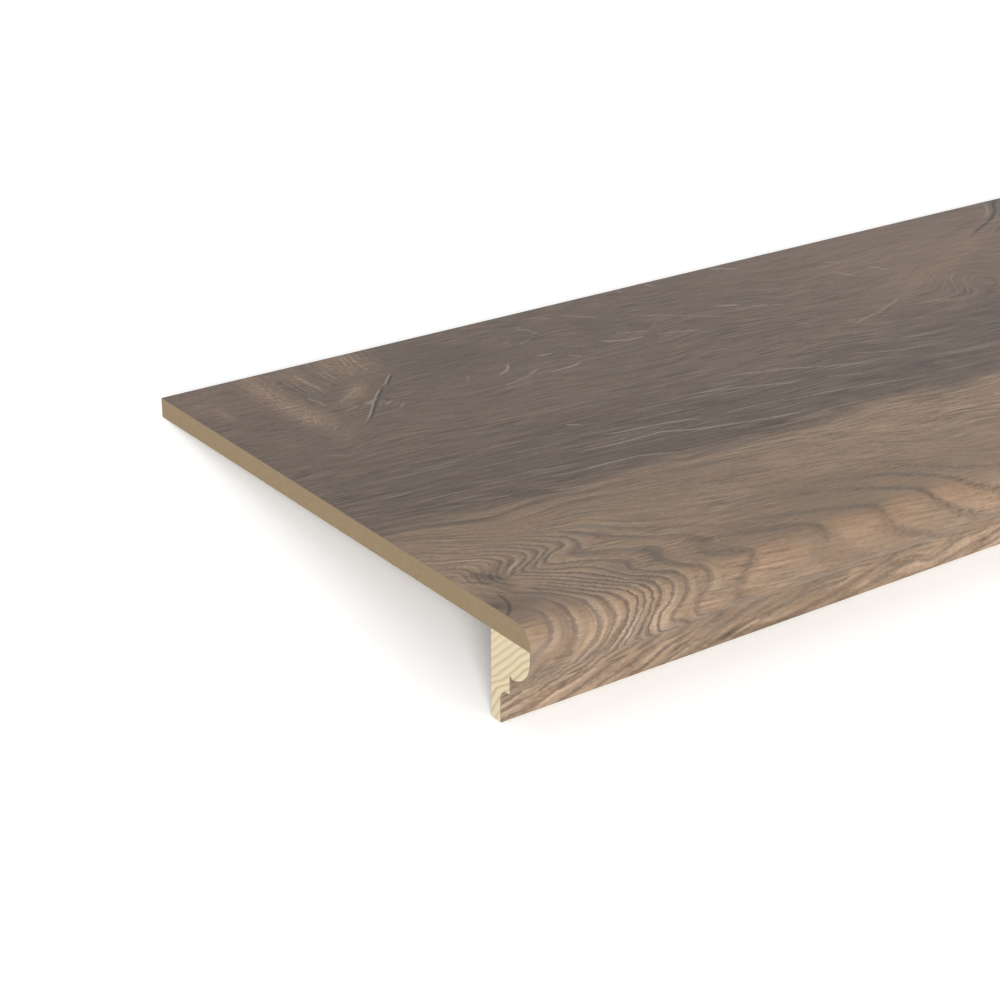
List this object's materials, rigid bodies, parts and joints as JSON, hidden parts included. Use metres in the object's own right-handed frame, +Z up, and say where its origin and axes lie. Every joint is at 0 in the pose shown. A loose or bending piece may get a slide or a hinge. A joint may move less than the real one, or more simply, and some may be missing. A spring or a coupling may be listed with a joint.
{
  "type": "stair tread",
  "caption": "Wood-look overlay stair tread: flat board with a rounded, stepped nosing that hangs below its front edge.",
  "frame": {"origin": "middle of the box round the tread as it lies on a level floor, at floor level", "axes": "+X along the step, +Y from the nose to the riser, +Z up; the tread leans back 8.2 degrees, on the foot of its nosing and the back edge of its board"},
  "size_m": [1, 0.3788, 0.0648],
  "materials": {
    "fibreboard": "raw sanded fibreboard",
    "softwood": "raw sawn pine",
    "oak_decor": "matte rustic oak decor with a brushed relief"
  },
  "bodies": {
    "root": {"mdf_board": "fibreboard", "softwood_nosing": "softwood", "decor_laminate": "oak_decor"}
  },
  "joints": []
}
